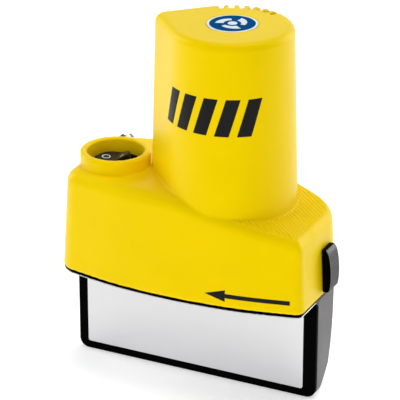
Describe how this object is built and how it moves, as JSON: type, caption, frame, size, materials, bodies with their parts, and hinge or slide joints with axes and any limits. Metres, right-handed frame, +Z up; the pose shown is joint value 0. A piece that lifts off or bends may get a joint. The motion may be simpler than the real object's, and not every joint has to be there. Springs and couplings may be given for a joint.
{
  "type": "edge tuning tool",
  "caption": "Hand-held motorised ski edge tuner: grinding disc under a moulded body with a motor tower, and a tilting guide with a metal slide plate.",
  "frame": {"origin": "middle of the flat foot strip under the guide, which the tool stands on", "axes": "+X along the guide, against the working direction; +Y to the back, away from the slide plate; +Z up the motor tower"},
  "size_m": [0.1183, 0.0676, 0.1604],
  "materials": {
    "yellow_plastic": "fine moulded satin",
    "black_plastic": "gloss black moulding",
    "grey_plastic": "fine matte texture",
    "label_print": "printed film",
    "plate_metal": "fine satin anodised",
    "steel": "zinc plated",
    "chrome": "polished",
    "brass": "plain",
    "aluminium": "machined",
    "abrasive": "bonded abrasive grain",
    "carbon": "sintered",
    "red_lead": "wire insulation",
    "black_lead": "wire insulation"
  },
  "bodies": {
    "body": {"housing": "yellow_plastic", "top_label": "label_print", "base_plate": "black_plastic", "wear_plate": "steel", "base_screw_1": "steel", "base_screw_2": "steel", "base_screw_3": "steel", "base_screw_4": "steel", "switch_bezel": "black_plastic", "switch_body": "black_plastic", "switch_terminal_1": "brass", "switch_terminal_2": "brass", "inlet_barrel": "chrome", "inlet_nut": "chrome", "inlet_insulator": "black_plastic", "inlet_pin": "brass", "motor_can": "steel", "motor_end_cap": "black_plastic", "motor_bushing_lower": "brass", "motor_bushing_upper": "brass", "motor_mount": "aluminium", "motor_magnet_1": "carbon", "motor_magnet_2": "carbon", "motor_brush_1": "carbon", "motor_brush_2": "carbon", "motor_terminal_1": "brass", "motor_terminal_2": "brass", "motor_screw_1": "steel", "motor_screw_2": "steel", "mount_screw_1": "steel", "mount_screw_2": "steel", "mount_screw_3": "steel", "mount_screw_4": "steel", "lead_switch_motor": "red_lead", "lead_inlet_switch": "red_lead", "lead_inlet_motor": "black_lead"},
    "guide": {"guide_shell": "grey_plastic", "guide_cheek_left": "grey_plastic", "guide_cheek_right": "grey_plastic", "guide_frame": "black_plastic", "slide_plate": "plate_metal", "guide_screw_1": "steel", "guide_screw_2": "steel", "guide_screw_3": "steel", "guide_screw_4": "steel", "hinge_pin_left": "steel", "hinge_pin_right": "steel"},
    "latch": {"latch_slider": "black_plastic", "latch_bar": "steel", "latch_screw": "steel"},
    "rocker": {"switch_rocker": "black_plastic"},
    "rotor": {"motor_shaft": "steel", "armature_core": "steel", "commutator": "brass", "cooling_fan": "black_plastic", "disc_hub": "aluminium", "grinding_disc": "abrasive", "disc_screw": "steel"}
  },
  "joints": [
    {"name": "guide_tilt", "type": "hinge", "parent": "body", "child": "guide", "pos_m": [0, 0.0046, 0.0385], "axis": [-1, 0, 0], "range_deg": [0, 5]},
    {"name": "latch_slide", "type": "slide", "parent": "body", "child": "latch", "axis": [-0.0454, -0.0005, 0.999], "range_m": [0, 0.005]},
    {"name": "rocker_tilt", "type": "hinge", "parent": "body", "child": "rocker", "pos_m": [-0.03935, -0.0007, 0.0876], "axis": [0, 1, 0], "range_deg": [0, 24]},
    {"name": "disc_spin", "type": "hinge", "parent": "body", "child": "rotor", "pos_m": [0.01285, 0.0043, 0.046], "axis": [0, 0, 1], "continuous": true}
  ]
}
